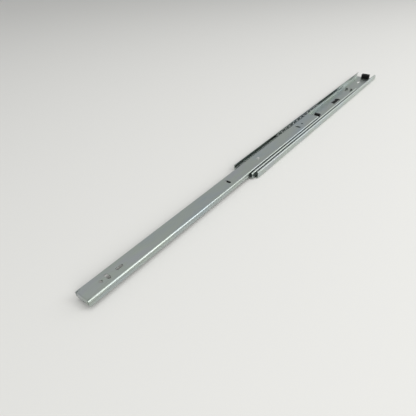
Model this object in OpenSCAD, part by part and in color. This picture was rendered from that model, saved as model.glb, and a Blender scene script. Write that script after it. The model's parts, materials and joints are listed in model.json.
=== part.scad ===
// Full-extension ball-bearing drawer slide, lying on the back of its cabinet member.
// Frame: +X points out of the cabinet, +Y runs across the slide, +Z runs from the cabinet
// side to the drawer side. The origin is the front end of the cabinet member, on the centre
// line of its back face. The slide is drawn with the drawer member run out to its stop and
// the intermediate member still inside the cabinet member.

/* [Slide] */
// Nominal length of the cabinet member
slide_length = 550; // [500:10:600]
// How far the drawer member runs out of the intermediate member
drawer_travel = 300; // [280:5:300]

/* [Cabinet member] */
// Overall width across the flanges
cabinet_width = 45; // [44.8:0.1:45.6]
// Height of the flanges above the back face
cabinet_depth = 11.2; // [11:0.1:11.5]
// Sheet thickness
cabinet_sheet = 1.2; // [1:0.05:1.2]
// Inside radius of its bends
cabinet_bend = 1.6; // [1.2:0.1:2]

/* [Intermediate member] */
// Length of the intermediate member
intermediate_length = 443; // [440:1:446]
// How far its front end stands ahead of the cabinet member when it is home
intermediate_lead = 7; // [6:0.5:8]
// Sheet thickness
intermediate_sheet = 1.1; // [1:0.05:1.15]

/* [Drawer member] */
// Length of the drawer member
drawer_length = 546; // [545:1:548]
// How far its front end stands ahead of the cabinet member when the slide is shut
drawer_lead = 6; // [5.5:0.5:7]
// Height of its outer face above the back of the cabinet member
slide_depth = 12.2; // [12.1:0.05:12.4]
// Sheet thickness
drawer_sheet = 1.2; // [1.1:0.05:1.25]

/* [Balls] */
// Diameter of the balls between cabinet and intermediate member
outer_ball_d = 4.76; // [4.7:0.02:4.8]
// Diameter of the balls between intermediate and drawer member
inner_ball_d = 4; // [3.9:0.05:4]
// Gap between each ball and the sheet that it runs on
ball_gap = 0.1; // [0.06:0.02:0.12]
// Balls in each outer row
outer_ball_count = 12; // [8:1:12]
// Balls in the long group of each inner row
inner_ball_count = 17; // [10:1:17]

/* [Holes] */
// Diameter of the screw holes in the cabinet member
cabinet_hole_d = 4.6; // [4:0.1:5]
// Diameter of the screw holes in the drawer member
drawer_hole_d = 4.4; // [4:0.1:5]

/* [Hidden] */
$fn = 48;

zinc = [0.66, 0.69, 0.69];
bright_zinc = [0.74, 0.77, 0.77];
ball_steel = [0.8, 0.8, 0.82];
black_plastic = [0.08, 0.08, 0.08];
black_rubber = [0.05, 0.05, 0.05];

eps = 0.01; // overshoot of a cut past the face it leaves
arc_step = 7.5; // largest turn between two points of a bend

// Ends of the members along X
cabinet_rear = -slide_length;
intermediate_front = intermediate_lead;
intermediate_rear = intermediate_front - intermediate_length;
drawer_front = drawer_lead + drawer_travel;
drawer_rear = drawer_front - drawer_length;

// Cabinet member section
cabinet_half = cabinet_width / 2;
cabinet_bend_out = cabinet_bend + cabinet_sheet;
cabinet_bend_y = cabinet_half - cabinet_bend_out;
cabinet_top_z = cabinet_depth - cabinet_bend_out;

// Ball rows: [Y, Z] of their centres, and the radius of each groove at mid-sheet
outer_row_z = 5.9;
row_rise = 1.6;
outer_row_y = cabinet_half - cabinet_sheet - ball_gap - outer_ball_d / 2;
groove_outer = outer_ball_d / 2 + ball_gap + intermediate_sheet / 2;
groove_inner = inner_ball_d / 2 + ball_gap + intermediate_sheet / 2;
row_run = sqrt(pow(groove_outer + groove_inner, 2) - pow(row_rise, 2));
row_angle = atan(row_rise / row_run);
outer_row = [outer_row_y, outer_row_z];
inner_row = [outer_row_y - row_run, outer_row_z + row_rise];

// Intermediate member section: web, foot bend, groove for the outer balls, groove for the
// inner balls
web_low = 1.95;
web_mid = web_low + intermediate_sheet / 2;
web_top = web_low + intermediate_sheet;
groove_turn = 35;
lip_turn = 50;
foot_end = polar(outer_row, groove_outer, 180 + groove_turn);
foot_bend = (foot_end.y - web_mid) / (1 + sin(groove_turn));
foot_centre = [foot_end.x - foot_bend * cos(groove_turn), web_mid + foot_bend];

// Drawer member section: web on top, shoulder bend, groove, foot bend and a straight foot
drawer_web_low = slide_depth - drawer_sheet;
drawer_groove = inner_ball_d / 2 + ball_gap + drawer_sheet / 2;
drawer_turn = 35;
shoulder_end = polar(inner_row, drawer_groove, 180 - drawer_turn);
shoulder_mid = slide_depth - drawer_sheet / 2;
shoulder_bend = (shoulder_mid - shoulder_end.y) / (1 + sin(drawer_turn));
shoulder_centre = [shoulder_end.x - shoulder_bend * cos(drawer_turn), shoulder_mid - shoulder_bend];
toe_bend = 1.2;
toe_end = polar(inner_row, drawer_groove, 180 + drawer_turn);
toe_centre = [toe_end.x - toe_bend * cos(drawer_turn), toe_end.y - toe_bend * sin(drawer_turn)];
toe_z = 5;

// Folded front end of the drawer member, and the slits beside its tab
fold_in = 0.6;
fold_tab_z = 4.6;
tab_half = 9;
slit_width = 0.5;
slit_depth = 3;
side_setback = 0.2;

// Lower and upper face of each member's web
cabinet_web = [0, cabinet_sheet];
intermediate_web = [web_low, web_top];
drawer_web = [drawer_web_low, slide_depth];

// Cages: thin strips that carry the balls
cage_sheet = 0.4;
pocket_gap = 0.05;
outer_cage_length = 180;
outer_cage_front = -slide_length / 2 + 147;
outer_cage_low = 2.3;
outer_cage_top = 9.4;
outer_cage_foot = 1;
inner_cage_rear = drawer_rear - 28;
inner_cage_front = -4;
inner_cage_low = web_top + 0.15;
inner_cage_top = 10;
inner_cage_bend = 0.6;
window_pitch = 60;
window_length = 44;
window_width = 18;
buffer_length = 8;
buffer_height = 3.6;
buffer_y = [-5.5, 4.5];
outer_ball_pitch = 15;
outer_ball_first = outer_cage_front - 7.5;
inner_ball_pitch = 9.5;
inner_ball_first = drawer_rear + 6;
front_group = [-30, -20.5, -11];

// Holes, measured from the front end of each member
cabinet_holes = [37, 165, 389, 525];
cabinet_slots = [55, 507];
cabinet_slot_length = 18;
cabinet_slot_y = -3;
tooling_hole = [-515, -15];
tooling_hole_r = 1.5;
drawer_round_holes = [25, 499];
drawer_cross_slots = [34, 258, 482];
drawer_long_slot = 50.5;
drawer_cross_slot_length = 9.6;
drawer_long_slot_length = 9.8;
access_holes = [-69, -197];
access_hole_r = 5;
through = 1; // how far a cutter stands past both faces of a web

// Lanced tabs behind the intermediate member, and the rubber pads in front of them
stop_tab_x = intermediate_rear - 3;
stop_tab_y = [-6.5, 4];
stop_tab_width = 4;
stop_tab_top = 6;
lance_length = 7;
pad_thickness = 2.8;

// Ribs that stop the intermediate member at the end of its run of 250
intermediate_travel = 250;
rib_x = intermediate_rear + intermediate_travel + 3.2;
rib_y = [8, 13];
rib_length = 2.8;
rib_overlap = 0.3;
rib_low = web_low - 0.2 - rib_overlap;

// Lanced tabs of the intermediate member: one in front under a rubber cap, two behind
front_tab_x = 1.9;
front_tab_y = [4.5, 8.5];
front_tab_top = 6.8;
front_lance_length = 6.5;
cap_wall = 0.9;
rear_tab_x = intermediate_rear + 1;
rear_tab_width = 3;
rear_tab_top = 5.5;

// Release lever and its rivet
lever_pivot_x = -36;
lever_low = 7.6;
lever_top = drawer_web_low - 0.3;
rivet_r = 2;
rivet_head_r = 3.2;
lever_reach = 88;
lever_hook_x = 0.7;
lever_hook_low = 4.3;
lever_bore_gap = 0.06;

// Sequence latch in the web of the intermediate member
latch_x = -366;
latch_head_r = 5.5;
latch_seat_gap = 0.1;
latch_arm = 25;
latch_root_half = 2.7;
latch_tip_half = 2.4;
window_root_half = 3.2;
window_tip_half = 4.6;

// Rear bumper
bumper_front = drawer_rear - drawer_travel - 0.3;
bumper_width = 17.6;
bumper_top = 9.8;
bumper_corner = 1.5;
bumper_rim = [2.5, 4];
bumper_pocket = 2.8;
bumper_foot = 7;
bumper_slope_top = 3.6;
peg_x = cabinet_rear + 4.5;
peg_y = 4.4;
peg_hole_r = 1.5;
peg_gap = 0.05;

function polar(c, r, a) = [c.x + r * cos(a), c.y + r * sin(a)];

// Points along an arc about a centre, from one angle to another
function arc(centre, r, from, to) =
    let (steps = ceil(abs(to - from) / arc_step))
    [for (i = [0:steps]) polar(centre, r, from + (to - from) * i / steps)];

// Closes the outline of a right half with its mirror image
function mirrored(half) =
    concat(half, [for (i = [len(half) - 1:-1:0]) [-half[i].x, half[i].y]]);

// Runs a section, drawn as Y and Z, from one X to another
module along_x(from, to) {
    translate([from, 0, 0]) rotate([90, 0, 90]) linear_extrude(to - from) children();
}

// Upright plate or block between two corners
module block(low, high) {
    translate(low) cube(high - low);
}

// Slot with round ends, through a web given by its two heights
module slot_cut(centre, length, width, web, turn = 0) {
    run = length / 2 - width / 2;
    translate([centre.x, centre.y, web[0] - through]) rotate([0, 0, turn])
        linear_extrude(web[1] - web[0] + 2 * through) {
            square([2 * run, width], center = true);
            for (side = [-1, 1]) translate([side * run, 0]) circle(width / 2);
        }
}

// Round hole through a web given by its two heights
module round_cut(centre, r, web) {
    translate([centre.x, centre.y, web[0] - through])
        cylinder(r = r, h = web[1] - web[0] + 2 * through);
}

module cabinet_section() {
    low = [cabinet_bend_y, cabinet_bend_out];
    high = [cabinet_bend_y, cabinet_top_z];
    polygon(mirrored(concat(
        arc(low, cabinet_bend_out, -90, 0), arc(high, cabinet_bend_out, 0, 90),
        arc(high, cabinet_bend, 90, 0), arc(low, cabinet_bend, 0, -90)
    )));
}

module intermediate_section() {
    half = intermediate_sheet / 2;
    neck = 180 - row_angle;
    polygon(mirrored(concat(
        arc(foot_centre, foot_bend + half, -90, groove_turn),
        arc(outer_row, groove_outer - half, 180 + groove_turn, neck),
        arc(inner_row, groove_inner + half, -row_angle, lip_turn),
        arc(inner_row, groove_inner - half, lip_turn, -row_angle),
        arc(outer_row, groove_outer + half, neck, 180 + groove_turn),
        arc(foot_centre, foot_bend - half, groove_turn, -90)
    )));
}

module drawer_section() {
    half = drawer_sheet / 2;
    near = 180 - drawer_turn;
    far = 180 + drawer_turn;
    toe_y = toe_centre.x + toe_bend;
    polygon(mirrored(concat(
        arc(shoulder_centre, shoulder_bend + half, 90, -drawer_turn),
        arc(inner_row, drawer_groove - half, near, far),
        arc(toe_centre, toe_bend + half, drawer_turn, 0),
        [[toe_y + half, toe_z], [toe_y - half, toe_z]],
        arc(toe_centre, toe_bend - half, 0, drawer_turn),
        arc(inner_row, drawer_groove + half, far, near),
        arc(shoulder_centre, shoulder_bend - half, -drawer_turn, 90)
    )));
}

module cabinet_member() {
    color(zinc) {
        difference() {
            along_x(cabinet_rear, 0) cabinet_section();
            for (d = cabinet_holes) round_cut([-d, 0], cabinet_hole_d / 2, cabinet_web);
            for (d = cabinet_slots)
                slot_cut([-d, cabinet_slot_y], cabinet_slot_length, cabinet_hole_d, cabinet_web);
            round_cut(tooling_hole, tooling_hole_r, cabinet_web);
            for (side = [-1, 1]) round_cut([peg_x, side * peg_y], peg_hole_r, cabinet_web);
            for (y = stop_tab_y)
                block([stop_tab_x - lance_length, y - stop_tab_width / 2, -through],
                    [stop_tab_x - cabinet_sheet, y + stop_tab_width / 2, cabinet_sheet + through]);
        }
        for (y = stop_tab_y)
            block([stop_tab_x - cabinet_sheet, y - stop_tab_width / 2, cabinet_sheet / 2],
                [stop_tab_x, y + stop_tab_width / 2, stop_tab_top]);
        for (side = [-1, 1])
            block([rib_x, min(side * rib_y), cabinet_sheet / 2],
                [rib_x + rib_length, max(side * rib_y), web_low - 0.2]);
    }
}

// Moulded block that the shut drawer member rests on, held by two pegs in the web
module rear_bumper() {
    half = bumper_width / 2;
    corner = [bumper_front - bumper_corner, half - bumper_corner];
    profile = [
        [cabinet_rear, cabinet_sheet], [cabinet_rear + bumper_foot, cabinet_sheet],
        [bumper_front, bumper_slope_top], [bumper_front, bumper_top], [cabinet_rear, bumper_top]
    ];
    color(black_plastic) difference() {
        union() {
            intersection() {
                linear_extrude(bumper_top) polygon(concat(
                    [[cabinet_rear, half], [cabinet_rear, -half]],
                    arc([corner.x, -corner.y], bumper_corner, -90, 0),
                    arc(corner, bumper_corner, 0, 90)
                ));
                translate([0, half, 0]) rotate([90, 0, 0]) linear_extrude(2 * half)
                    polygon(profile);
            }
            for (side = [-1, 1])
                translate([peg_x, side * peg_y, 0])
                    cylinder(r = peg_hole_r - peg_gap, h = cabinet_sheet + eps);
        }
        block([cabinet_rear + bumper_rim.x, bumper_rim.y - half, bumper_top - bumper_pocket],
            [bumper_front - bumper_rim.x, half - bumper_rim.y, bumper_top + through]);
    }
}

// Rubber pads on the lanced tabs, which the intermediate member comes home against
module rear_stop_cushions() {
    color(black_rubber) for (y = stop_tab_y)
        block([stop_tab_x, y - stop_tab_width / 2, cabinet_sheet],
            [stop_tab_x + pad_thickness, y + stop_tab_width / 2, stop_tab_top - 0.5]);
}

// Channel-shaped strip with a pocket for each outer ball; side is -1 for left, 1 for right
module outer_cage(side) {
    rear = outer_cage_front - outer_cage_length;
    inner_y = outer_row_y - cage_sheet / 2;
    height = outer_cage_top - outer_cage_low;
    color(bright_zinc) on_side(side) difference() {
        along_x(rear, outer_cage_front) {
            translate([inner_y, outer_cage_low]) square([cage_sheet, height]);
            for (z = [outer_cage_low, outer_cage_top - cage_sheet])
                translate([inner_y, z]) square([cage_sheet + outer_cage_foot, cage_sheet]);
        }
        for (i = [0:outer_ball_count - 1])
            pocket([outer_ball_first - i * outer_ball_pitch, outer_row.x, outer_row.y],
                outer_ball_d / 2);
    }
}

// Mirrors a right-hand piece to the left when side is -1
module on_side(side) {
    if (side < 0) mirror([0, 1, 0]) children();
    else children();
}

// Hole across a cage wall for one ball
module pocket(centre, r) {
    translate(centre) rotate([90, 0, 0]) cylinder(r = r + pocket_gap, h = 2, center = true);
}

module outer_balls(side) {
    color(ball_steel) for (i = [0:outer_ball_count - 1])
        translate([outer_ball_first - i * outer_ball_pitch, side * outer_row.x, outer_row.y])
            sphere(d = outer_ball_d);
}

module intermediate_member() {
    color(zinc) {
        difference() {
            along_x(intermediate_rear, intermediate_front) intermediate_section();
            for (x = access_holes) round_cut([x, 0], access_hole_r, intermediate_web);
            round_cut([latch_x, 0], latch_head_r + latch_seat_gap, intermediate_web);
            translate([latch_x, 0, 0]) linear_extrude(web_top + through)
                polygon([
                    [0, -window_root_half], [latch_arm + 1, -window_tip_half],
                    [latch_arm + 1, window_tip_half], [0, window_root_half]
                ]);
            block([front_tab_x - front_lance_length, front_tab_y[0], 0],
                [front_tab_x, front_tab_y[1], web_top + through]);
        }
        block([front_tab_x, front_tab_y[0], web_mid],
            [front_tab_x + intermediate_sheet, front_tab_y[1], front_tab_top]);
        for (y = stop_tab_y)
            block([rear_tab_x, y - rear_tab_width / 2, web_mid],
                [rear_tab_x + intermediate_sheet, y + rear_tab_width / 2, rear_tab_top]);
        // Ribs pressed down, which meet the cabinet member's ribs at the end of the run
        for (side = [-1, 1])
            block([rib_x - intermediate_travel - rib_length, min(side * rib_y), rib_low],
                [rib_x - intermediate_travel, max(side * rib_y), web_mid]);
    }
}

// Rubber cap over the lanced tab at the front of the intermediate member
module front_stop_cushion() {
    color(black_rubber) difference() {
        block([front_tab_x - cap_wall, front_tab_y[0] - 0.5, web_top + 0.05],
            [front_tab_x + intermediate_sheet + 0.5, front_tab_y[1] + 0.5, front_tab_top + 0.4]);
        block([front_tab_x, front_tab_y[0], web_top - through],
            [front_tab_x + intermediate_sheet, front_tab_y[1], front_tab_top]);
    }
}

// Plastic pawl that lies in a window of the web and turns in its round end
module sequence_latch() {
    flange_low = cabinet_sheet + 0.2;
    flange_r = latch_head_r + 0.8;
    flange_height = 0.4;
    head_top = web_top - 0.1;
    arm = latch_arm - latch_tip_half;
    color(black_plastic) translate([latch_x, 0, 0]) {
        translate([0, 0, flange_low]) cylinder(r = latch_head_r, h = head_top - flange_low);
        translate([0, 0, flange_low]) cylinder(r = flange_r, h = flange_height);
        translate([0, 0, web_low]) linear_extrude(head_top - web_low) {
            polygon([
                [0, -latch_root_half], [arm, -latch_tip_half],
                [arm, latch_tip_half], [0, latch_root_half]
            ]);
            translate([arm, 0]) circle(latch_tip_half);
        }
    }
}

// Channel-shaped strip under the drawer member, with a pocket for each inner ball
module inner_cage() {
    half = inner_row.x + cage_sheet / 2;
    corner = half - inner_cage_bend;
    bend_z = inner_cage_low + inner_cage_bend;
    color(bright_zinc) difference() {
        along_x(inner_cage_rear, inner_cage_front) polygon(mirrored(concat(
            arc([corner, bend_z], inner_cage_bend, -90, 0),
            [[half, inner_cage_top], [half - cage_sheet, inner_cage_top]],
            arc([corner, bend_z], inner_cage_bend - cage_sheet, 0, -90)
        )));
        for (side = [-1, 1], x = inner_ball_places())
            pocket([x, side * inner_row.x, inner_row.y], inner_ball_d / 2);
        // The walls stop where the drawer member ends; only the web runs on to the buffer
        for (side = [-1, 1])
            block([inner_cage_rear - through, side * half - 2, bend_z + 0.4],
                [drawer_rear, side * half + 2, inner_cage_top + through]);
        // Windows between the web's bridges
        first = drawer_rear + window_pitch * 0.7;
        last = inner_cage_front - window_length / 2;
        for (x = [first:window_pitch:last])
            slot_cut([x, 0], window_length, window_width,
                [inner_cage_low, inner_cage_low + cage_sheet]);
    }
}

function inner_ball_places() = concat(
    [for (i = [0:inner_ball_count - 1]) inner_ball_first + i * inner_ball_pitch], front_group);

module inner_balls(side) {
    color(ball_steel) for (x = inner_ball_places())
        translate([x, side * inner_row.x, inner_row.y]) sphere(d = inner_ball_d);
}

// Moulded buffer on the rear end of the inner cage's web
module cage_buffer() {
    low = inner_cage_low + cage_sheet;
    ramp = 1.4;
    color(black_plastic) translate([inner_cage_rear, buffer_y[1], low]) rotate([90, 0, 0])
        linear_extrude(buffer_y[1] - buffer_y[0])
            polygon([
                [0, 0], [buffer_length, 0], [buffer_length, buffer_height],
                [2 * ramp, buffer_height], [0, buffer_height - ramp]
            ]);
}

module drawer_member() {
    fold_out = fold_in + drawer_sheet;
    fold_x = drawer_front - fold_out;
    fold_z = slide_depth - fold_out;
    slit_x = fold_x - slit_depth;
    slit_y = tab_half + slit_width;
    color(zinc) {
        difference() {
            along_x(drawer_rear, drawer_front - side_setback) drawer_section();
            block([slit_x, -slit_y, drawer_web_low - through],
                [drawer_front, slit_y, slide_depth + through]);
            for (d = drawer_round_holes)
                round_cut([drawer_front - d, 0], drawer_hole_d / 2, drawer_web);
            for (d = drawer_cross_slots)
                slot_cut([drawer_front - d, 0], drawer_cross_slot_length, drawer_hole_d,
                    drawer_web, 90);
            slot_cut([drawer_front - drawer_long_slot, 0], drawer_long_slot_length, drawer_hole_d,
                drawer_web);
            translate([lever_pivot_x, 0, 0]) rivet_body(0.02);
        }
        // Front end, folded down between the rolled sides
        translate([0, tab_half, 0]) rotate([90, 0, 0]) linear_extrude(2 * tab_half) polygon(concat(
            [[slit_x - 1, drawer_web_low], [slit_x - 1, slide_depth]],
            arc([fold_x, fold_z], fold_out, 90, 0),
            [[drawer_front, fold_tab_z], [drawer_front - drawer_sheet, fold_tab_z]],
            arc([fold_x, fold_z], fold_in, 0, 90)
        ));
    }
}

// Plastic lever under the drawer member's web: thumb pad in front, hook, pivot, return leaf
module release_lever() {
    pivot_r = 5.5;
    neck = lever_reach - 26;
    pad = lever_reach - 22;
    hook_x = lever_hook_x - lever_pivot_x;
    hook = [[hook_x, 1], [hook_x, 5], [hook_x - 1.2, 6.2], [hook_x - 10, 6.2]];
    leaf = [[-2, 2], [-14, 4], [-26, 5.6], [-36, 6.2]];
    leaf_back = [[-36, 7.3], [-26, 6.8], [-14, 5.4], [-2, 5]];
    color(black_plastic) translate([lever_pivot_x, 0, 0]) difference() {
        union() {
            translate([0, 0, lever_low]) linear_extrude(lever_top - lever_low) {
                circle(pivot_r);
                polygon([
                    [0, -4], [neck, -2.5], [pad, -4], [lever_reach - 4, -4], [lever_reach, -1.5],
                    [lever_reach, 1.5], [lever_reach - 4, 4], [pad, 4], [neck, 2.5], [0, 4]
                ]);
                polygon(concat([[hook_x - 20, 2]], hook));
            }
            translate([0, 0, lever_hook_low]) linear_extrude(lever_low - lever_hook_low + eps)
                polygon(concat([[hook_x - 10, 1]], hook));
            translate([0, 0, lever_low + 0.4]) linear_extrude(2.4) polygon(concat(leaf, leaf_back));
        }
        cylinder(r = rivet_r + lever_bore_gap, h = slide_depth);
        // Grip grooves under the thumb pad
        for (i = [0:4])
            translate([lever_reach - 20 + 3.4 * i, -5, lever_low - 1]) cube([1.2, 10, 1.5]);
    }
}

// Solid of the rivet, or the hole it leaves when gap is above 0
module rivet_body(gap) {
    low = gap > 0 ? drawer_web_low - through : lever_low - 0.5;
    translate([0, 0, low]) cylinder(r = rivet_r + gap, h = slide_depth - drawer_sheet / 2 - low);
    translate([0, 0, drawer_web_low])
        cylinder(r1 = rivet_r + gap, r2 = rivet_head_r + gap, h = drawer_sheet);
    if (gap > 0) translate([0, 0, slide_depth - eps]) cylinder(r = rivet_head_r + gap, h = through);
}

// Countersunk rivet, flush with the drawer member's face, with a flat head under the lever
module lever_rivet() {
    head_height = 0.7;
    color(bright_zinc) translate([lever_pivot_x, 0, 0]) {
        rivet_body(0);
        translate([0, 0, lever_low - 0.2 - head_height])
            cylinder(r = rivet_head_r + 0.1, h = head_height);
    }
}

cabinet_member();
rear_bumper();
rear_stop_cushions();
outer_cage(-1);  // outer_cage_left
outer_cage(1);  // outer_cage_right
outer_balls(-1);  // outer_balls_left
outer_balls(1);  // outer_balls_right
intermediate_member();
front_stop_cushion();
sequence_latch();
inner_cage();
inner_balls(-1);  // inner_balls_left
inner_balls(1);  // inner_balls_right
cage_buffer();
drawer_member();
release_lever();
lever_rivet();
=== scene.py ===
"""Looks of a ball-bearing cabinet drawer slide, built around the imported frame.

Frame: +X out of the cabinet, +Y across the slide, +Z from the cabinet side to the drawer
side, metres. Sections are worked out in millimetres and turned into metres as meshes are made.
"""
import json
import math

import bmesh
import bpy
from mathutils import Matrix, Vector
from mathutils.geometry import delaunay_2d_cdt


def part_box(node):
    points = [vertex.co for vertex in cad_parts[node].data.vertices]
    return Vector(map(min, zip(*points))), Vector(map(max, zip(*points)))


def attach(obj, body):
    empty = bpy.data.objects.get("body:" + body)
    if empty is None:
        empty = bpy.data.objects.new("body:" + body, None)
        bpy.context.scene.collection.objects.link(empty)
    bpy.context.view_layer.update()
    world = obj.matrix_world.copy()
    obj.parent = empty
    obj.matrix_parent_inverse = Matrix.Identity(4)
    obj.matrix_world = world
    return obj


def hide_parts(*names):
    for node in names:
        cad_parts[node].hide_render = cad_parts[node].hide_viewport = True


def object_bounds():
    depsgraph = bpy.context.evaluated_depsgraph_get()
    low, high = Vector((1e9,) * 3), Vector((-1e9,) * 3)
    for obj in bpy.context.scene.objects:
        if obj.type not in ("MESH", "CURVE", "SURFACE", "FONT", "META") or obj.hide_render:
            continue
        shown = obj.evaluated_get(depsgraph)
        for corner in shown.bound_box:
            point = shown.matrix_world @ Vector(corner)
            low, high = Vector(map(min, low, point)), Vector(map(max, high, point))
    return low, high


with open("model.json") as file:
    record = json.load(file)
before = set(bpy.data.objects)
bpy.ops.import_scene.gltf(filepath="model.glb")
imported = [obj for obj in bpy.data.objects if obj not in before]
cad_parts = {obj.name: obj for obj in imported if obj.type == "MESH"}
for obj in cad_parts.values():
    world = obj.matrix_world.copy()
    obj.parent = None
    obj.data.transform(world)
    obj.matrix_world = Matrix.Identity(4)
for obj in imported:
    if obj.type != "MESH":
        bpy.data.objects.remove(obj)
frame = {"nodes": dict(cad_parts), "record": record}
cad_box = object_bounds()
NODES = frame["nodes"]
MM = 0.001


def box_mm(node):
    """Lowest and highest corner of a CAD node, in millimetres."""
    low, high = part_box(node)
    return low / MM, high / MM


# ---------------------------------------------------------------- sizes, in millimetres

CABINET_LOW, CABINET_HIGH = box_mm("cabinet_member")
MIDDLE_LOW, MIDDLE_HIGH = box_mm("intermediate_member")
DRAWER_LOW, DRAWER_HIGH = box_mm("drawer_member")
OUTER_CAGE_LOW, OUTER_CAGE_HIGH = box_mm("outer_cage_right")
INNER_CAGE_LOW, INNER_CAGE_HIGH = box_mm("inner_cage")
OUTER_BALL_LOW, OUTER_BALL_HIGH = box_mm("outer_balls_right")
INNER_BALL_LOW, INNER_BALL_HIGH = box_mm("inner_balls_right")

CABINET_SHEET = 1.2
MIDDLE_SHEET = 1.1
DRAWER_SHEET = 1.2
CAGE_SHEET = 0.4
BALL_GAP = 0.1
POCKET_GAP = 0.05
ARC_STEP = math.radians(5)
HOLE_STEP = math.radians(9)

OUTER_BALL_R = (OUTER_BALL_HIGH.z - OUTER_BALL_LOW.z) / 2
INNER_BALL_R = (INNER_BALL_HIGH.z - INNER_BALL_LOW.z) / 2
OUTER_ROW = (OUTER_BALL_LOW + OUTER_BALL_HIGH).yz / 2
INNER_ROW = (INNER_BALL_LOW + INNER_BALL_HIGH).yz / 2

# Every bend and groove is the radius of the sheet's mid-line. A turn is how far a groove goes
# on round its row of balls, from the level of the balls' centres.
CABINET_INSIDE_BEND = 1.6
CABINET_BEND = CABINET_INSIDE_BEND + CABINET_SHEET / 2
CABINET_BEND_Y = CABINET_HIGH.y - CABINET_SHEET / 2 - CABINET_BEND
GROOVE_OUTER = OUTER_BALL_R + BALL_GAP + MIDDLE_SHEET / 2
GROOVE_INNER = INNER_BALL_R + BALL_GAP + MIDDLE_SHEET / 2
GROOVE_DRAWER = INNER_BALL_R + BALL_GAP + DRAWER_SHEET / 2
GROOVE_TURN = math.radians(35)
LIP_TURN = math.radians(75)
DRAWER_TURN = math.radians(35)
MIDDLE_WEB_Z = 2.5
DRAWER_WEB_Z = DRAWER_HIGH.z - DRAWER_SHEET / 2
TOE_BEND = 1.2
LANCE_BEND = 1.0


# ---------------------------------------------------------------- outlines

def polar(centre, r, angle):
    return Vector((centre[0] + r * math.cos(angle), centre[1] + r * math.sin(angle)))


def arc(centre, r, start, end, step=ARC_STEP):
    count = max(2, math.ceil(abs(end - start) / step))
    return [polar(centre, r, start + (end - start) * i / count) for i in range(count + 1)]


def circle(centre, r, count=40):
    return [polar(centre, r, 2 * math.pi * i / count) for i in range(count)]


def slot(centre, length, width, across=False):
    """Slot with round ends; it runs along X, or along Y when across is set."""
    run, r = length / 2 - width / 2, width / 2
    turn = math.pi / 2 if across else 0
    step = Vector((math.cos(turn), math.sin(turn))) * run
    centre = Vector(centre)
    return (arc(centre + step, r, turn - math.pi / 2, turn + math.pi / 2, HOLE_STEP)
            + arc(centre - step, r, turn + math.pi / 2, turn + 3 * math.pi / 2, HOLE_STEP))


def rectangle(x0, x1, y0, y1):
    return [Vector((x0, y0)), Vector((x1, y0)), Vector((x1, y1)), Vector((x0, y1))]


def inside(point, outline):
    hit = False
    for a, b in zip(outline, outline[1:] + outline[:1]):
        if (a.y > point.y) != (b.y > point.y):
            if point.x < (b.x - a.x) * (point.y - a.y) / (b.y - a.y) + a.x:
                hit = not hit
    return hit


# ---------------------------------------------------------------- meshes

def new_piece(name, bm, body, slot_name, replaces):
    """Turns a bmesh in millimetres into a piece that rides on a body, in its slot's material."""
    bmesh.ops.scale(bm, vec=Vector((MM, MM, MM)), verts=bm.verts)
    mesh = bpy.data.meshes.new(name)
    bm.to_mesh(mesh)
    bm.free()
    piece = bpy.data.objects.new(name, mesh)
    bpy.context.scene.collection.objects.link(piece)
    mesh.materials.append(SLOT_MATERIALS[slot_name])
    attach(piece, body)
    if replaces:
        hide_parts(*replaces)
    return piece


def apply_modifiers(piece):
    bpy.context.view_layer.update()
    evaluated = piece.evaluated_get(bpy.context.evaluated_depsgraph_get())
    mesh = bpy.data.meshes.new_from_object(evaluated)
    old = piece.data
    piece.modifiers.clear()
    piece.data = mesh
    bpy.data.meshes.remove(old)
    mesh.name = piece.name


def soften(piece, edge, segments, crease):
    """Rounds the edges; shades smooth except at corners sharper than the crease, in degrees."""
    bevel = piece.modifiers.new("edge", "BEVEL")
    bevel.width = edge * MM
    bevel.segments = segments
    bevel.limit_method = "ANGLE"
    bevel.angle_limit = math.radians(35)
    bevel.miter_outer = "MITER_ARC"
    apply_modifiers(piece)
    mesh = piece.data
    mesh.polygons.foreach_set("use_smooth", [True] * len(mesh.polygons))
    mesh.set_sharp_from_angle(angle=math.radians(crease))
    weigh = piece.modifiers.new("weigh", "WEIGHTED_NORMAL")
    weigh.keep_sharp = True
    apply_modifiers(piece)


def add_panel(bm, outlines, holes, place):
    """A flat panel over all the outlines less the holes; place turns its points into space."""
    points, edges = [], []
    for loop in [*outlines, *holes]:
        start = len(points)
        points += [Vector(p) for p in loop]
        edges += [(start + i, start + (i + 1) % len(loop)) for i in range(len(loop))]
    flat, _, faces, _, _, _ = delaunay_2d_cdt(points, edges, [], 0, 1e-5)
    outlines = [[Vector(p) for p in loop] for loop in outlines]
    made, panel = {}, []
    for face in faces:
        middle = sum((flat[i] for i in face), Vector((0, 0))) / len(face)
        if any(inside(middle, hole) for hole in holes):
            continue
        if not any(inside(middle, outline) for outline in outlines):
            continue
        for i in face:
            if i not in made:
                made[i] = bm.verts.new(place(flat[i]))
        panel.append(bm.faces.new([made[i] for i in face]))
    return panel


def add_solid(bm, outlines, low, high, holes=(), upright=False):
    """A prism over the outlines; an upright one is drawn as X and Z and runs along Y."""
    panel = add_panel(bm, outlines, holes,
                      lambda p: (p.x, low, p.y) if upright else (p.x, p.y, low))
    made = bmesh.ops.extrude_face_region(bm, geom=panel)
    moved = [v for v in made["geom"] if isinstance(v, bmesh.types.BMVert)]
    run = (0, high - low, 0) if upright else (0, 0, high - low)
    bmesh.ops.translate(bm, vec=Vector(run), verts=moved)


def sink(bm, outline, z, depth):
    """Pushes the part of a level face inside an outline by a depth along Z."""
    outline = [Vector(p) for p in outline]
    panel = [f for f in bm.faces if all(abs(v.co.z - z) < 1e-4 for v in f.verts)
             and inside(f.calc_center_median().xy, outline)]
    made = bmesh.ops.extrude_face_region(bm, geom=panel)
    moved = [v for v in made["geom"] if isinstance(v, bmesh.types.BMVert)]
    bmesh.ops.translate(bm, vec=Vector((0, 0, depth)), verts=moved)
    bmesh.ops.delete(bm, geom=panel, context="FACES")


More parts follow.
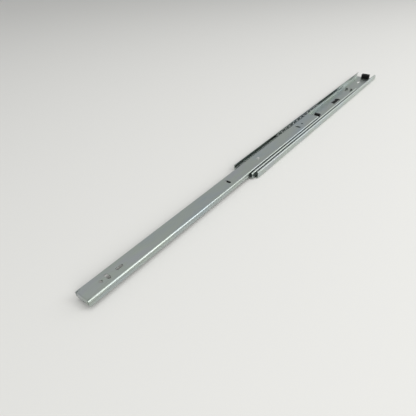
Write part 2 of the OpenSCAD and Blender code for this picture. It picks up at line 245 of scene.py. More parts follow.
def add_turned(bm, centre, profile, count=48):
    """A turned solid about an upright axis; profile runs from axis to axis as radius and Z."""
    rings = []
    for r, z in profile:
        if r == 0:
            rings.append([bm.verts.new((*centre, z))])
            continue
        rings.append([bm.verts.new((*p, z)) for p in circle(centre, r, count)])
    for low, high in zip(rings, rings[1:]):
        for i in range(count):
            loop = [low[i % len(low)], low[(i + 1) % len(low)],
                    high[(i + 1) % len(high)], high[i % len(high)]]
            bm.faces.new(list(dict.fromkeys(loop)))


def add_strip(bm, rails):
    """Quads between neighbouring rails; each rail is a list of points in space."""
    rows = [[bm.verts.new(p) for p in rail] for rail in rails]
    for near, far in zip(rows, rows[1:]):
        for i in range(len(near) - 1):
            bm.faces.new([near[i], near[i + 1], far[i + 1], far[i]])


def add_sides(bm, half_line, x0, x1):
    """Both rolled sides of a member: half_line is the mid-line of the right one, as Y and Z."""
    for side in (-1, 1):
        add_strip(bm, [[(x0, side * y, z), (x1, side * y, z)] for y, z in half_line])


def add_lance(bm, x, sides, z, top, forward=True):
    """A tab bent up out of the web from the edge at x; its bend bulges to +X when forward."""
    line = arc((x, z + LANCE_BEND), LANCE_BEND, -math.pi / 2, 0 if forward else -math.pi)
    line.append(Vector((line[-1].x, top)))
    add_strip(bm, [[(p.x, y, p.y) for y in sides] for p in line])


def finish_sheet(piece, sheet, edge=0.14):
    """Gives a mid-surface its thickness and its slightly rounded sheared edges."""
    solid = piece.modifiers.new("sheet", "SOLIDIFY")
    solid.thickness = sheet * MM
    solid.offset = 0
    solid.use_even_offset = False
    soften(piece, edge, segments=2, crease=32)
    level_webs(piece.data)


def level_webs(mesh):
    """Makes the corner normals of level faces upright, so that long triangles leave no creases."""
    level = {i for p in mesh.polygons if abs(p.normal.z) > 0.9999 for i in p.vertices}
    normals = []
    for loop, corner in zip(mesh.loops, mesh.corner_normals):
        normal = corner.vector.copy()
        if loop.vertex_index in level and abs(normal.z) > 0.995:
            normal = Vector((0, 0, math.copysign(1, normal.z)))
        normals.append(normal)
    mesh.normals_split_custom_set(normals)


def new_solid(name, bm, body, slot_name, replaces, edge):
    """Closes a bmesh of solids, makes it a piece and rounds its edges."""
    bmesh.ops.recalc_face_normals(bm, faces=bm.faces)
    piece = new_piece(name, bm, body, slot_name, replaces)
    soften(piece, edge, segments=3, crease=40)


def close_sheet(bm):
    """Joins the panels and strips of a sheet along their shared edges."""
    bmesh.ops.remove_doubles(bm, verts=bm.verts, dist=1e-4)
    bmesh.ops.dissolve_degenerate(bm, edges=bm.edges, dist=1e-4)
    bmesh.ops.recalc_face_normals(bm, faces=bm.faces)


# ---------------------------------------------------------------- materials

def node_material(name):
    material = bpy.data.materials.new(name)
    material.use_nodes = True
    return material, material.node_tree, material.node_tree.nodes["Principled BSDF"]


def add_node(tree, kind, **values):
    """Adds a node; a name in lower case is a property of it, and any other is a socket."""
    node = tree.nodes.new(kind)
    for key in sorted(values, key=str.islower, reverse=True):
        if key.islower():
            setattr(node, key, values[key])
        else:
            node.inputs[key].default_value = values[key]
    return node


def stretched(tree, scale, **values):
    """Noise on object coordinates, stretched by a scale for each axis."""
    place = add_node(tree, "ShaderNodeTexCoord")
    mapping = add_node(tree, "ShaderNodeMapping", Scale=scale)
    noise = add_node(tree, "ShaderNodeTexNoise", Scale=1.0, **values)
    tree.links.new(place.outputs["Object"], mapping.inputs["Vector"])
    tree.links.new(mapping.outputs["Vector"], noise.inputs["Vector"])
    return noise.outputs["Fac"]


def ramp(tree, source, stops):
    """Colours a factor; each stop is a (place, colour)."""
    node = add_node(tree, "ShaderNodeValToRGB")
    elements = node.color_ramp.elements
    while len(elements) < len(stops):
        elements.new(0.5)
    for element, (place, colour) in zip(elements, stops):
        element.position = place
        element.color = (*colour, 1)
    tree.links.new(source, node.inputs["Fac"])
    return node.outputs["Color"]


# The Mix node's sockets for colours: it has others of the same names for numbers and vectors.
MIX_A, MIX_B, MIX_RESULT = 6, 7, 2


def multiply(tree, a, b):
    node = add_node(tree, "ShaderNodeMix", data_type="RGBA", blend_type="MULTIPLY", Factor=1.0)
    tree.links.new(a, node.inputs[MIX_A])
    tree.links.new(b, node.inputs[MIX_B])
    return node.outputs[MIX_RESULT]


def span(tree, source, low, high):
    """Spreads a factor from 0 to 1 over a range from low to high."""
    node = add_node(tree, "ShaderNodeMapRange", **{"To Min": low, "To Max": high})
    tree.links.new(source, node.inputs["Value"])
    return node.outputs["Result"]


def bump(tree, shader, heights):
    """Chains bumps, each a (height socket, distance in millimetres)."""
    last = None
    for height, distance in heights:
        node = add_node(tree, "ShaderNodeBump", Strength=1.0, Distance=distance * MM)
        tree.links.new(height, node.inputs["Height"])
        if last:
            tree.links.new(last, node.inputs["Normal"])
        last = node.outputs["Normal"]
    tree.links.new(last, shader.inputs["Normal"])


# Tints of the zinc's cloudy film, by the density of the cloud.
FILM = ((0.30, (0.93, 0.97, 1.04)), (0.45, (1, 1, 1)),
        (0.56, (1.02, 1.02, 0.95)), (0.68, (1.01, 0.97, 1.01)))
# Stretch of each noise, in cycles a metre along X, Y and Z.
CLOUD_SCALE = (14, 40, 40)
GRAIN_SCALE = (60, 2600, 2600)
SPECKLE_SCALE = (1400, 1400, 1400)
SKIN_SCALE = (2200, 2200, 2200)
SCUFF_SCALE = (260, 900, 900)
HAZE_SCALE = (500, 500, 500)


def zinc(name, base, rough, seed):
    """Bright zinc plate on rolled strip: rolling grain along X, cloudy film, fine speckle."""
    material, tree, shader = node_material(name)
    clouds = stretched(tree, CLOUD_SCALE, Detail=3.0, Roughness=0.55, W=seed,
                       noise_dimensions="4D")
    grain = stretched(tree, GRAIN_SCALE, Detail=4.0, Roughness=0.6, W=seed + 3,
                      noise_dimensions="4D")
    speckle = stretched(tree, SPECKLE_SCALE, Detail=2.0, Roughness=0.5, W=seed + 7,
                        noise_dimensions="4D")
    film = ramp(tree, clouds, [(density, tuple(c * t for c, t in zip(base, tint)))
                               for density, tint in FILM])
    fine = ramp(tree, grain, [(0.3, (0.9, 0.9, 0.9)), (0.7, (1, 1, 1))])
    tree.links.new(multiply(tree, film, fine), shader.inputs["Base Color"])
    shader.inputs["Metallic"].default_value = 1
    tree.links.new(span(tree, clouds, rough - 0.06, rough + 0.08), shader.inputs["Roughness"])
    bump(tree, shader, [(grain, 0.0015), (speckle, 0.001)])
    return material


def polished_steel(name):
    material, tree, shader = node_material(name)
    haze = stretched(tree, HAZE_SCALE, Detail=2.0)
    tree.links.new(ramp(tree, haze, [(0.35, (0.36, 0.36, 0.37)), (0.7, (0.5, 0.5, 0.51))]),
                   shader.inputs["Base Color"])
    shader.inputs["Metallic"].default_value = 1
    tree.links.new(span(tree, haze, 0.08, 0.2), shader.inputs["Roughness"])
    return material


def black(name, colour, rough, grain):
    """Moulded black plastic or rubber, with a fine skin grain and a few paler scuffs."""
    material, tree, shader = node_material(name)
    skin = stretched(tree, SKIN_SCALE, Detail=3.0)
    scuffs = stretched(tree, SCUFF_SCALE, Detail=6.0, Roughness=0.7)
    pale = tuple(c * 2.2 for c in colour)
    tree.links.new(ramp(tree, scuffs, [(0.55, colour), (0.72, pale)]),
                   shader.inputs["Base Color"])
    tree.links.new(span(tree, scuffs, rough, rough + 0.15), shader.inputs["Roughness"])
    shader.inputs["Specular IOR Level"].default_value = 0.25
    bump(tree, shader, [(skin, grain)])
    return material


SLOT_MATERIALS = {
    "zinc_steel": zinc("zinc_steel", (0.490, 0.540, 0.530), rough=0.30, seed=0.0),
    "cage_steel": zinc("cage_steel", (0.54, 0.57, 0.58), rough=0.24, seed=20.0),
    "rivet_steel": zinc("rivet_steel", (0.74, 0.75, 0.73), rough=0.22, seed=40.0),
    "ball_steel": polished_steel("ball_steel"),
    "black_plastic": black("black_plastic", (0.005, 0.005, 0.0055), rough=0.5, grain=0.01),
    "black_rubber": black("black_rubber", (0.009, 0.009, 0.009), rough=0.68, grain=0.02),
}
for part in frame["record"]["subparts"]:
    for material_slot in NODES[part["node"]].material_slots:
        material_slot.material = SLOT_MATERIALS[part["material_slot"]]


# ---------------------------------------------------------------- cabinet member

def cabinet_line():
    """Lower and upper bend of the right side, which join the web, wall and lip."""
    low = (CABINET_BEND_Y, CABINET_SHEET / 2 + CABINET_BEND)
    high = (CABINET_BEND_Y, CABINET_HIGH.z - CABINET_SHEET / 2 - CABINET_BEND)
    return arc(low, CABINET_BEND, -math.pi / 2, 0) + arc(high, CABINET_BEND, 0, math.pi / 2)


# Places of the holes and slots, back from the member's front end.
CABINET_ROUND, CABINET_ROUND_R = (37, 165, 389, 525), 2.3
CABINET_LONG, CABINET_LONG_Y, CABINET_LONG_SIZE = (55, 507), -3, (18, 4.6)
# Small holes near the rear end, ahead of it and across.
SMALL_HOLE_R = 1.5
PILOT_HOLE = (35, -15)
PEG_HOLE = (4.5, 4.41)
# The two rear stops: STOP_X is the front face of their lanced tabs.
STOP_Y = (-6.5, 4)
STOP_HALF = 2
STOP_TOP = 6
STOP_WINDOW = 7
STOP_X = MIDDLE_LOW.x - 3
STOP_ROOT = STOP_X - CABINET_SHEET / 2 - LANCE_BEND


def make_cabinet():
    bm = bmesh.new()
    line = cabinet_line()
    web_y, web_z = line[0]
    front, rear = CABINET_HIGH.x, CABINET_LOW.x
    holes = [circle((front - d, 0), CABINET_ROUND_R) for d in CABINET_ROUND]
    holes += [slot((front - d, CABINET_LONG_Y), *CABINET_LONG_SIZE) for d in CABINET_LONG]
    holes.append(circle((rear + PILOT_HOLE[0], PILOT_HOLE[1]), SMALL_HOLE_R, count=28))
    holes += [rectangle(STOP_X - STOP_WINDOW, STOP_ROOT, y - STOP_HALF, y + STOP_HALF)
              for y in STOP_Y]
    holes += [circle((rear + PEG_HOLE[0], side * PEG_HOLE[1]), SMALL_HOLE_R, count=28)
              for side in (-1, 1)]
    add_panel(bm, [rectangle(rear, front, -web_y, web_y)], holes, lambda p: (p.x, p.y, web_z))
    add_sides(bm, line, rear, front)
    for y in STOP_Y:
        add_lance(bm, STOP_ROOT, (y - STOP_HALF, y + STOP_HALF), web_z, STOP_TOP)
    close_sheet(bm)
    piece = new_piece("cabinet_channel", bm, "cabinet", "zinc_steel", ["cabinet_member"])
    finish_sheet(piece, CABINET_SHEET)


# ---------------------------------------------------------------- intermediate member

def middle_line():
    """Foot bend, outer groove, then inner groove; the grooves' centres are the ball rows."""
    rise = OUTER_ROW[1] - INNER_ROW[1]
    neck = math.asin(-rise / (GROOVE_OUTER + GROOVE_INNER))
    foot_end = polar(OUTER_ROW, GROOVE_OUTER, math.pi + GROOVE_TURN)
    bend = (foot_end[1] - MIDDLE_WEB_Z) / (1 + math.sin(GROOVE_TURN))
    centre = (foot_end[0] - bend * math.cos(GROOVE_TURN), MIDDLE_WEB_Z + bend)
    return (arc(centre, bend, -math.pi / 2, GROOVE_TURN)
            + arc(OUTER_ROW, GROOVE_OUTER, math.pi + GROOVE_TURN, math.pi - neck)[1:]
            + arc(INNER_ROW, GROOVE_INNER, -neck, LIP_TURN)[1:])


ACCESS_HOLES, ACCESS_HOLE_R = (-69, -197), 5
# The latch's round seat and the half-widths of its window, beside the seat and at its front.
LATCH_X = -366
LATCH_SEAT_R = 5.6
WINDOW_REACH = 26
WINDOW_HALVES = (3.2, 4.6)
# The front tab: rear face, sides, edge that it is bent up from, top and window.
FRONT_TAB_X = 1.9
FRONT_TAB_Y = (4.5, 8.5)
FRONT_TAB_ROOT = 1.5
FRONT_TAB_TOP = 6.8
FRONT_TAB_WINDOW = 6.5
# The two rear tabs, which meet the rear stops.
REAR_TAB_ROOT = MIDDLE_LOW.x + 2.6
REAR_TAB_HALF = 1.5
REAR_TAB_TOP = 5.5
REAR_TAB_WINDOW = 5


def latch_window():
    """The latch's seat, with a window ahead of it that widens forwards."""
    near, far = WINDOW_HALVES
    slope = (far - near) / WINDOW_REACH
    a, b, c = 1 + slope ** 2, 2 * slope * near, near ** 2 - LATCH_SEAT_R ** 2
    meet = (-b + math.sqrt(b * b - 4 * a * c)) / (2 * a)
    turn = math.asin((near + slope * meet) / LATCH_SEAT_R)
    front = LATCH_X + WINDOW_REACH
    return (arc((LATCH_X, 0), LATCH_SEAT_R, turn, 2 * math.pi - turn, HOLE_STEP)
            + [Vector((front, -far)), Vector((front, far))])


def make_middle():
    bm = bmesh.new()
    line = middle_line()
    web_y, web_z = line[0]
    rear, front = MIDDLE_LOW.x, MIDDLE_HIGH.x
    holes = [circle((x, 0), ACCESS_HOLE_R) for x in ACCESS_HOLES]
    holes.append(latch_window())
    holes.append(rectangle(FRONT_TAB_X - FRONT_TAB_WINDOW, FRONT_TAB_ROOT, *FRONT_TAB_Y))
    holes += [rectangle(REAR_TAB_ROOT, REAR_TAB_ROOT + REAR_TAB_WINDOW,
                        y - REAR_TAB_HALF, y + REAR_TAB_HALF) for y in STOP_Y]
    add_panel(bm, [rectangle(rear, front, -web_y, web_y)], holes, lambda p: (p.x, p.y, web_z))
    add_sides(bm, line, rear, front)
    add_lance(bm, FRONT_TAB_ROOT, FRONT_TAB_Y, web_z, FRONT_TAB_TOP)
    for y in STOP_Y:
        add_lance(bm, REAR_TAB_ROOT, (y - REAR_TAB_HALF, y + REAR_TAB_HALF), web_z,
                  REAR_TAB_TOP, forward=False)
    close_sheet(bm)
    piece = new_piece("intermediate_channel", bm, "intermediate", "zinc_steel",
                      ["intermediate_member"])
    finish_sheet(piece, MIDDLE_SHEET)


# ---------------------------------------------------------------- drawer member

def drawer_line():
    """Shoulder bend, groove round the balls, toe bend and a short straight foot."""
    end = polar(INNER_ROW, GROOVE_DRAWER, math.pi - DRAWER_TURN)
    bend = (DRAWER_WEB_Z - end[1]) / (1 + math.sin(DRAWER_TURN))
    shoulder = (end[0] - bend * math.cos(DRAWER_TURN), DRAWER_WEB_Z - bend)
    toe_end = polar(INNER_ROW, GROOVE_DRAWER, math.pi + DRAWER_TURN)
    toe = (toe_end[0] - TOE_BEND * math.cos(DRAWER_TURN),
           toe_end[1] - TOE_BEND * math.sin(DRAWER_TURN))
    line = (arc(shoulder, bend, math.pi / 2, -DRAWER_TURN)
            + arc(INNER_ROW, GROOVE_DRAWER, math.pi - DRAWER_TURN, math.pi + DRAWER_TURN)[1:]
            + arc(toe, TOE_BEND, DRAWER_TURN, 0)[1:])
    return line + [Vector((line[-1].x, DRAWER_LOW.z))]


# Places of the holes and slots, back from the member's front end.
DRAWER_ROUND, DRAWER_ROUND_R = (25, 499), 2.2
DRAWER_CROSS, DRAWER_CROSS_SIZE = (34, 258, 482), (9.6, 4.4)
DRAWER_LONG, DRAWER_LONG_SIZE = 50.5, (9.8, 4.4)
# The end tab, folded down between two slits.
FOLD = 1.2
TAB_HALF = 9
TAB_FOOT = 4.6
SLIT = 0.5
SLIT_DEPTH = 3
SIDES_SHORT = 0.1
RIVET_X = -36
RIVET_HEAD = 3.2


def make_drawer():
    bm = bmesh.new()
    line = drawer_line()
    web_y, web_z = line[0]
    front, rear = DRAWER_HIGH.x, DRAWER_LOW.x
    side_front = front - SIDES_SHORT
    fold_x = front - DRAWER_SHEET / 2 - FOLD
    relief = fold_x - SLIT_DEPTH
    half = [(rear, web_y), (side_front, web_y), (side_front, TAB_HALF + SLIT),
            (relief, TAB_HALF + SLIT), (relief, TAB_HALF), (fold_x, TAB_HALF)]
    outline = [Vector((x, -y)) for x, y in half] + [Vector(p) for p in reversed(half)]
    holes = [circle((front - d, 0), DRAWER_ROUND_R) for d in DRAWER_ROUND]
    holes += [slot((front - d, 0), *DRAWER_CROSS_SIZE, across=True) for d in DRAWER_CROSS]
    holes.append(slot((front - DRAWER_LONG, 0), *DRAWER_LONG_SIZE))
    holes.append(circle((RIVET_X, 0), RIVET_HEAD + POCKET_GAP))
    add_panel(bm, [outline], holes, lambda p: (p.x, p.y, web_z))
    add_sides(bm, line, rear, side_front)
    fold = arc((fold_x, web_z - FOLD), FOLD, math.pi / 2, 0)
    fold.append(Vector((fold[-1].x, TAB_FOOT)))
    add_strip(bm, [[(p.x, -TAB_HALF, p.y), (p.x, TAB_HALF, p.y)] for p in fold])
    close_sheet(bm)
    piece = new_piece("drawer_channel", bm, "drawer", "zinc_steel", ["drawer_member"])
    finish_sheet(piece, DRAWER_SHEET)


# ---------------------------------------------------------------- cages

CAGE_EDGE = 0.05
# Ball pockets. The inner cage has a long row from its walls' rear end, and three at the front.
OUTER_COUNT, OUTER_PITCH = 12, 15
INNER_COUNT, INNER_PITCH, INNER_START = 17, 9.5, 6
FRONT_GROUP = (-30, -20.5, -11)
CAGE_BEND = 0.4
# Windows in the inner cage's web: size, pitch, first place and least room left at the front.
WINDOW_SIZE = (44, 18)
WINDOW_PITCH = 60
WINDOW_START = 42
WINDOW_ROOM = 22


def make_outer_cage(node, side):
    """A channel strip on edge, with a pocket for each ball in its web."""
    low, high = OUTER_CAGE_LOW, OUTER_CAGE_HIGH
    web_y, row_z = OUTER_ROW
    z0, z1 = low.z + CAGE_SHEET / 2, high.z - CAGE_SHEET / 2
    places = [high.x - OUTER_PITCH * (i + 0.5) for i in range(OUTER_COUNT)]
    pockets = [circle((x, row_z), OUTER_BALL_R + POCKET_GAP, count=28) for x in places]
    bm = bmesh.new()
    add_panel(bm, [rectangle(low.x, high.x, z0, z1)], pockets,
              lambda p: (p.x, side * web_y, p.y))
    for z in (z0, z1):
        add_strip(bm, [[(low.x, side * y, z), (high.x, side * y, z)] for y in (web_y, high.y)])
    close_sheet(bm)
    piece = new_piece(node + "_strip", bm, "outer_cages", "cage_steel", [node])
    finish_sheet(piece, CAGE_SHEET, CAGE_EDGE)


def make_inner_cage():
    """One channel-shaped strip: a web with windows, and a side wall for each row of balls.

    The walls start where the drawer member does, and the web runs on behind it.
    """
    low, high = INNER_CAGE_LOW, INNER_CAGE_HIGH
    row_y, row_z = INNER_ROW
    flat_y, web_z = row_y - CAGE_BEND, low.z + CAGE_SHEET / 2
    wall_x = DRAWER_LOW.x
    windows = []
    x = wall_x + WINDOW_START
    while x < high.x - WINDOW_ROOM:
        windows.append(slot((x, 0), *WINDOW_SIZE))
        x += WINDOW_PITCH
    outline = [(low.x, -flat_y), (wall_x, -flat_y), (high.x, -flat_y),
               (high.x, flat_y), (wall_x, flat_y), (low.x, flat_y)]
    bm = bmesh.new()
    add_panel(bm, [outline], windows, lambda p: (p.x, p.y, web_z))
    corner = arc((flat_y, web_z + CAGE_BEND), CAGE_BEND, -math.pi / 2, 0, math.radians(30))
    places = [wall_x + INNER_START + INNER_PITCH * i for i in range(INNER_COUNT)]
    pockets = [circle((x, row_z), INNER_BALL_R + POCKET_GAP, count=28)
               for x in (*places, *FRONT_GROUP)]
    for side in (-1, 1):
        add_strip(bm, [[(wall_x, side * p.x, p.y), (high.x, side * p.x, p.y)] for p in corner])
        add_panel(bm, [rectangle(wall_x, high.x, corner[-1].y, high.z)], pockets,
                  lambda p: (p.x, side * corner[-1].x, p.y))
    close_sheet(bm)
    piece = new_piece("inner_cage_strip", bm, "inner_cage", "cage_steel", ["inner_cage"])
    finish_sheet(piece, CAGE_SHEET, CAGE_EDGE)


# ---------------------------------------------------------------- plastic, rubber and rivet

# The bumper: a slab with a pocket, on a foot whose front face slopes.
BUMPER_CORNER = 1.5
BUMPER_RIM = (2.5, 4)
BUMPER_POCKET = 2.8
BUMPER_FOOT = 7
BUMPER_SLOPE_TOP = 3.6
BUMPER_LAP = 0.3
BUMPER_SETBACK = 0.4
PEG = (4.5, 4.4)
PEG_R = 1.44
PEG_LOW = 0.05
PEG_LAP = 1


def make_bumper():
    low, high = box_mm("rear_bumper")
    half = high.y
    corner_x, corner_y = high.x - BUMPER_CORNER, half - BUMPER_CORNER
    outline = ([Vector((low.x, half)), Vector((low.x, -half))]
               + arc((corner_x, -corner_y), BUMPER_CORNER, -math.pi / 2, 0)
               + arc((corner_x, corner_y), BUMPER_CORNER, 0, math.pi / 2))
    rim_x, rim_y = BUMPER_RIM
    pocket = rectangle(low.x + rim_x, high.x - rim_x, rim_y - half, half - rim_y)
    bm = bmesh.new()
    add_solid(bm, [outline, pocket], BUMPER_SLOPE_TOP, high.z)
    sink(bm, pocket, high.z, -BUMPER_POCKET)
    foot_x, nose_x = low.x + BUMPER_FOOT, high.x - BUMPER_SETBACK
    lap_z = BUMPER_SLOPE_TOP + BUMPER_LAP
    foot = [(low.x, CABINET_SHEET), (foot_x, CABINET_SHEET), (nose_x, BUMPER_SLOPE_TOP),
            (nose_x, lap_z), (low.x, lap_z)]
    add_solid(bm, [foot], -half, half, upright=True)
    for side in (-1, 1):
        peg = circle((CABINET_LOW.x + PEG[0], side * PEG[1]), PEG_R, count=24)
        add_solid(bm, [peg], PEG_LOW, CABINET_SHEET + PEG_LAP)
    new_solid("bumper_block", bm, "cabinet", "black_plastic", ["rear_bumper"], edge=0.3)


PAD_DEPTH = 2.8
PAD_TOP = 5.5
PAD_CHAMFER = 0.8


def make_rear_pads():
    """Two rubber pads on the rear stops' tabs, with a sloped upper front edge."""
    front = STOP_X + PAD_DEPTH
    profile = [(STOP_X, CABINET_SHEET), (front, CABINET_SHEET), (front, PAD_TOP - PAD_CHAMFER),
               (front - PAD_CHAMFER, PAD_TOP), (STOP_X, PAD_TOP)]
    bm = bmesh.new()
    for y in STOP_Y:
        add_solid(bm, [profile], y - STOP_HALF, y + STOP_HALF, upright=True)
    new_solid("stop_pads", bm, "cabinet", "black_rubber", ["rear_stop_cushions"], edge=0.35)


CAP_SLOT_DEPTH = 3.7


def make_front_cap():
    """A rubber cap with a slot from below that the front tab stands in."""
    low, high = box_mm("front_stop_cushion")
    tab = rectangle(FRONT_TAB_X, FRONT_TAB_X + MIDDLE_SHEET, *FRONT_TAB_Y)
    bm = bmesh.new()
    add_solid(bm, [rectangle(low.x, high.x, low.y, high.y), tab], low.z, high.z)
    sink(bm, tab, low.z, CAP_SLOT_DEPTH)
    new_solid("stop_cap", bm, "intermediate", "black_rubber", ["front_stop_cushion"], edge=0.25)


# The latch: an arm with a dimple over its pivot, on a disc that turns in the seat, with a
# flange under the web. Each level is a lower and an upper height.
LATCH_R = 5.5
LATCH_REACH = 22.6
LATCH_HALVES = (2.7, 2.4)
LATCH_ARM_Z = (1.95, 2.95)
LATCH_DISC_Z = (1.6, 2.1)
LATCH_FLANGE_Z = (1.4, 1.8)
LATCH_DISC_GAP = 0.02
LATCH_FLANGE = 0.8
DIMPLE_R, DIMPLE_DEPTH = 1.6, 0.5


def make_latch():
    tip_x = LATCH_X + LATCH_REACH
    root, tip = LATCH_HALVES
    arm = [(LATCH_X, -root), (tip_x, -tip), (tip_x, tip), (LATCH_X, root)]
    dimple = circle((LATCH_X, 0), DIMPLE_R, count=24)
    bm = bmesh.new()
    add_solid(bm, [circle((LATCH_X, 0), LATCH_R), arm, circle((tip_x, 0), tip, count=24), dimple],
              *LATCH_ARM_Z)
    sink(bm, dimple, LATCH_ARM_Z[1], -DIMPLE_DEPTH)
    add_solid(bm, [circle((LATCH_X, 0), LATCH_R - LATCH_DISC_GAP)], *LATCH_DISC_Z)
    add_solid(bm, [circle((LATCH_X, 0), LATCH_R + LATCH_FLANGE)], *LATCH_FLANGE_Z)
    new_solid("latch_pawl", bm, "sequence_latch", "black_plastic", ["sequence_latch"], edge=0.12)


# The buffer: how far its slope runs along X and down Z, and the width of its ribs.
BUFFER_SLOPE = (2.8, 1.4)
BUFFER_RIB = 1.2


def make_buffer():
    """A block with a sloped rear edge and two ribs that stand a little above it."""
    low, high = box_mm("cage_buffer")
    slope_x, slope_z = BUFFER_SLOPE
    block = [(low.x, low.z), (high.x, low.z), (high.x, high.z), (low.x + slope_x, high.z),
             (low.x, high.z - slope_z)]
    rib_front, rib_top = high.x - 0.8, high.z + 0.4
    rib = [(low.x + 3.4, low.z + 1), (rib_front, low.z + 1), (rib_front, rib_top),
           (low.x + 3.8, rib_top)]
    bm = bmesh.new()
    add_solid(bm, [block], low.y, high.y, upright=True)
    for y in (low.y + BUFFER_RIB, high.y - 2 * BUFFER_RIB):
        add_solid(bm, [rib], y, y + BUFFER_RIB, upright=True)
    new_solid("buffer_block", bm, "inner_cage", "black_plastic", ["cage_buffer"], edge=0.25)


# The release lever, forwards from its rivet: reach, underside, half-widths and grip ridges.
LEVER_REACH = 88
LEVER_UNDER = 7.6
LEVER_HALF = 4
LEVER_NECK_HALF = 2.5
LEVER_EYE_R, LEVER_HOLE_R = 5.5, 2.06
GRIP_COUNT, GRIP_PITCH, GRIP_WIDTH, GRIP_HALF, GRIP_START = 5, 3.4, 1.2, 3.2, 20
GRIP_DEPTH = 0.5
HOOK_X = 36.7


def make_lever():
    """An arm with a finger pad, a hook beside it and a leaf spring behind the rivet."""
    low, high = box_mm("release_lever")
    reach, half, slim = LEVER_REACH, LEVER_HALF, LEVER_NECK_HALF
    arm = [(0, -half), (reach - 26, -slim), (reach - 22, -half), (reach - 4, -half), (reach, -1.5),
           (reach, 1.5), (reach - 4, half), (reach - 22, half), (reach - 26, slim), (0, half)]
    hook = [(HOOK_X, 1), (HOOK_X, 5), (HOOK_X - 1.2, 6.2), (HOOK_X - 10, 6.2)]
    leaf = [(-2, 2), (-14, 4), (-26, 5.6), (-36, 6.2), (-36, 7.3), (-26, 6.8), (-14, 5.4), (-2, 5)]

    def moved(points):
        return [Vector((RIVET_X + x, y)) for x, y in points]

    first = RIVET_X + reach - GRIP_START
    grips = [rectangle(first + GRIP_PITCH * i, first + GRIP_WIDTH + GRIP_PITCH * i,
                       -GRIP_HALF, GRIP_HALF) for i in range(GRIP_COUNT)]
    bm = bmesh.new()
    add_solid(bm, [circle((RIVET_X, 0), LEVER_EYE_R), moved(arm),
                   moved([(HOOK_X - 20, 2), *hook]), *grips],
              LEVER_UNDER, high.z, [circle((RIVET_X, 0), LEVER_HOLE_R, count=32)])
    for grip in grips:
        sink(bm, grip, LEVER_UNDER, GRIP_DEPTH)
    add_solid(bm, [moved([(HOOK_X - 10, 1), *hook])], low.z, LEVER_UNDER + 0.3)
    add_solid(bm, [moved(leaf)], LEVER_UNDER + 0.4, LEVER_UNDER + 2.8)
    new_solid("lever_arm", bm, "release_lever", "black_plastic", ["release_lever"], edge=0.2)


RIVET_SHANK = 2
RIVET_UNDER = 7.4


def make_rivet():
    """A countersunk head flush with the web, a shank through the lever and a domed foot."""
    top, under = DRAWER_HIGH.z, RIVET_UNDER
    profile = [(0, top - 0.25), (0.7, top - 0.22), (0.95, top - 0.02), (RIVET_HEAD - 0.15, top),
               (RIVET_HEAD, top - 0.08), (RIVET_SHANK, top - DRAWER_SHEET), (RIVET_SHANK, under),
               (3.1, under), (3.3, under - 0.2), (3.1, under - 0.5), (2.4, under - 0.7),
               (0, under - 0.7)]
    bm = bmesh.new()
    add_turned(bm, (RIVET_X, 0), profile)
    new_solid("rivet_pin", bm, "drawer", "rivet_steel", ["lever_rivet"], edge=0.04)


# Ribs pressed into both webs, which meet at the end of the intermediate member's run.
MIDDLE_TRAVEL = 250
RIB_Y = (8, 13)
RIB_LENGTH = 2.8
RIB_X = MIDDLE_LOW.x + MIDDLE_TRAVEL + 3.2
CABINET_RIB_Z = (0.7, 1.75)
MIDDLE_RIB_Z = (2.5, 1.45)


def make_ribs(name, body, x, levels):
    """A pair of ribs from the middle of a web, at the first level, to their crests."""
    z0, z1 = levels
    profile = [(x, z0), (x + RIB_LENGTH, z0), (x + RIB_LENGTH, z1), (x, z1)]
    bm = bmesh.new()
    for side in (-1, 1):
        y0, y1 = sorted(side * y for y in RIB_Y)
        add_solid(bm, [profile], y0, y1, upright=True)
    new_solid(name, bm, body, "zinc_steel", (), edge=0.25)


# ---------------------------------------------------------------- stage, lights and camera

FLOOR_SIZE = 6
FLOOR_COLOUR = (0.76, 0.755, 0.73)


def make_floor():
    bm = bmesh.new()
    bmesh.ops.create_grid(bm, x_segments=8, y_segments=8, size=FLOOR_SIZE)
    bmesh.ops.translate(bm, vec=Vector((0, 0, cad_box[0][2])), verts=bm.verts)
    mesh = bpy.data.meshes.new("floor")
    bm.to_mesh(mesh)
    bm.free()
    floor = bpy.data.objects.new("floor", mesh)
    bpy.context.scene.collection.objects.link(floor)
    material, _, shader = node_material("floor")
    shader.inputs["Base Color"].default_value = (*FLOOR_COLOUR, 1)
    shader.inputs["Roughness"].default_value = 0.55
    shader.inputs["Specular IOR Level"].default_value = 0.2
    mesh.materials.append(material)


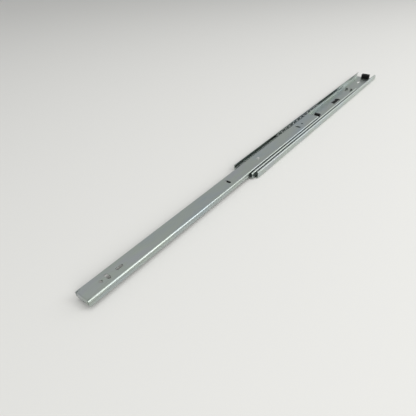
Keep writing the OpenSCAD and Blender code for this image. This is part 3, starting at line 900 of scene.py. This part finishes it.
# Each light's place, the point it faces and the sides of its panel, in metres, and its watts.
LIGHTS = {
    "ceiling": ((-0.1, 0.1, 2.2), (0, 0, 0), (1.8, 1.8), 14),
    "side": ((-0.9, 1.4, 1.45), (-0.1, 0, 0), (1.1, 1.3), 14),
    "back": ((-1.9, 0.95, 0.8), (-0.2, 0, 0), (1.3, 1.0), 5),
    "fill": ((0.9, 1.5, 0.8), (0, 0, 0), (0.9, 0.9), 9),
}
WORLD_COLOUR = (0.495, 0.50, 0.50)


def make_lights():
    world = bpy.data.worlds.new("studio")
    world.use_nodes = True
    world.node_tree.nodes["Background"].inputs["Color"].default_value = (*WORLD_COLOUR, 1)
    bpy.context.scene.world = world
    for name, (place, target, size, power) in LIGHTS.items():
        data = bpy.data.lights.new(name, "AREA")
        data.shape = "RECTANGLE"
        data.size, data.size_y = size
        data.energy = power
        light = bpy.data.objects.new(name, data)
        bpy.context.scene.collection.objects.link(light)
        light.location = place
        facing = Vector(target) - Vector(place)
        light.rotation_euler = facing.to_track_quat("-Z", "Y").to_euler()


CAMERA_PLACE = (0.4029, 0.2545, 0.2964)
CAMERA_RIGHT = (-0.6130249, 0.78883791, -0.04399118)
CAMERA_UP = (-0.49908927, -0.34348786, 0.79556646)
FOCAL = 30.69


def make_camera():
    data = bpy.data.cameras.new("camera")
    data.sensor_width = 36
    data.lens = FOCAL
    data.clip_start = 0.01
    camera = bpy.data.objects.new("camera", data)
    bpy.context.scene.collection.objects.link(camera)
    right, up = Vector(CAMERA_RIGHT), Vector(CAMERA_UP)
    turn = Matrix((right, up, right.cross(up))).transposed().to_4x4()
    camera.matrix_world = Matrix.Translation(CAMERA_PLACE) @ turn
    bpy.context.scene.camera = camera


make_cabinet()
make_middle()
make_drawer()
make_outer_cage("outer_cage_left", -1)
make_outer_cage("outer_cage_right", 1)
make_inner_cage()
make_bumper()
make_rear_pads()
make_front_cap()
make_latch()
make_buffer()
make_lever()
make_rivet()
make_ribs("cabinet_stop_ribs", "cabinet", RIB_X, CABINET_RIB_Z)
make_ribs("intermediate_stop_ribs", "intermediate", RIB_X - MIDDLE_TRAVEL - RIB_LENGTH,
          MIDDLE_RIB_Z)
make_floor()
make_lights()
make_camera()
bpy.context.scene.view_settings.view_transform = "Standard"
